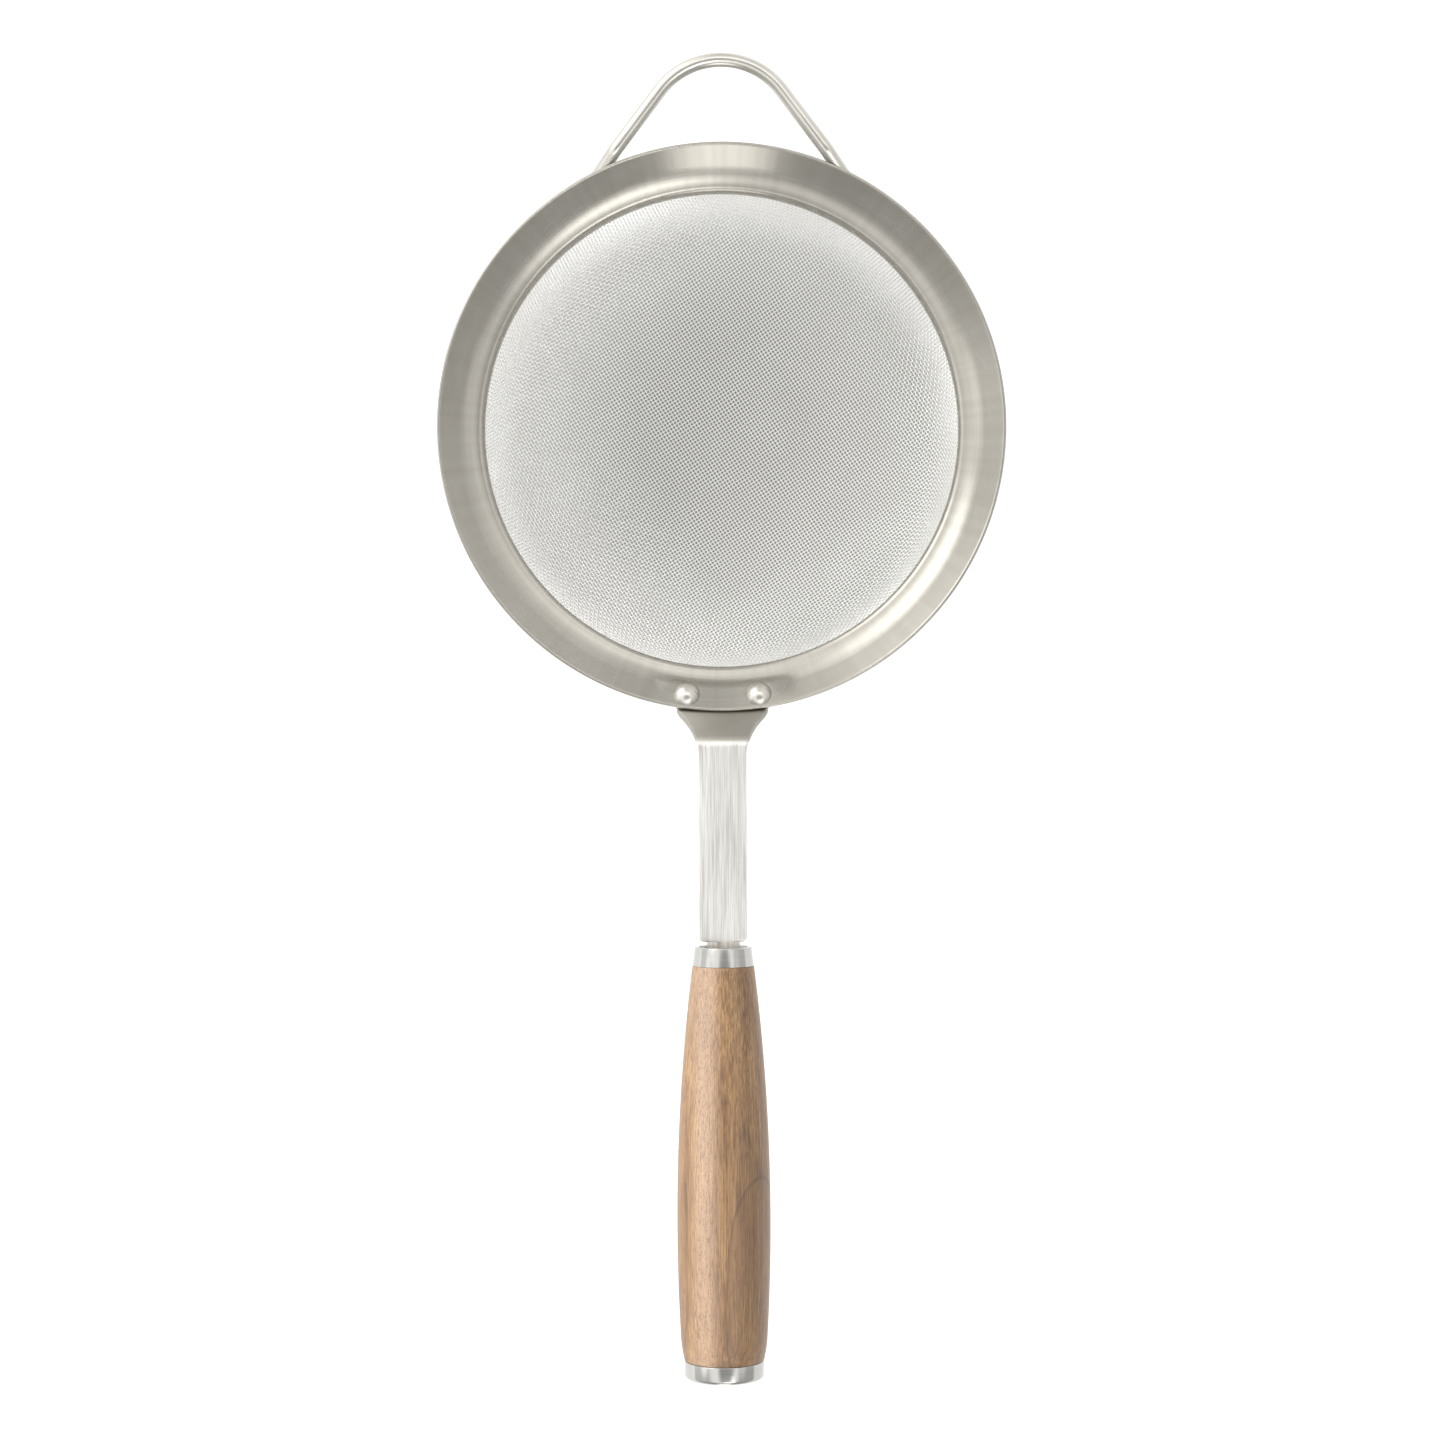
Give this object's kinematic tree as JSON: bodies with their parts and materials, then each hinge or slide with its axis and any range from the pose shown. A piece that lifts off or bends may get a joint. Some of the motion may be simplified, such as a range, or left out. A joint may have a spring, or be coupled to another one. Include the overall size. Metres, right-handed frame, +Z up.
{
  "type": "tea strainer",
  "caption": "Hand strainer: round woven wire bowl in a flared steel rim, riveted strap with a turned wooden grip, and a wire rest loop opposite.",
  "frame": {"origin": "middle of the bounding box's base, under the lowest point of the mesh basket's level", "axes": "+Z up along the bowl's axis out of its mouth, +Y from the grip towards the rest loop, +X to the right with the loop away from you"},
  "size_m": [0.12, 0.278, 0.052],
  "materials": {
    "brushed_sheet": "circumferentially brushed satin stainless sheet",
    "brushed_plate": "lengthwise brushed satin stainless plate",
    "wire_cloth": "bright drawn stainless wire, plain weave",
    "polished_steel": "polished stainless steel",
    "turned_steel": "finely turned and polished stainless steel",
    "walnut": "oiled walnut, turned and sanded"
  },
  "bodies": {
    "root": {"bowl_rim": "brushed_sheet", "mesh_ring": "brushed_sheet", "mesh_basket": "wire_cloth", "rest_loop": "polished_steel", "handle_arm": "brushed_plate", "rivet_left": "polished_steel", "rivet_right": "polished_steel", "front_ferrule": "turned_steel", "grip": "walnut", "end_cap": "turned_steel"}
  },
  "joints": []
}
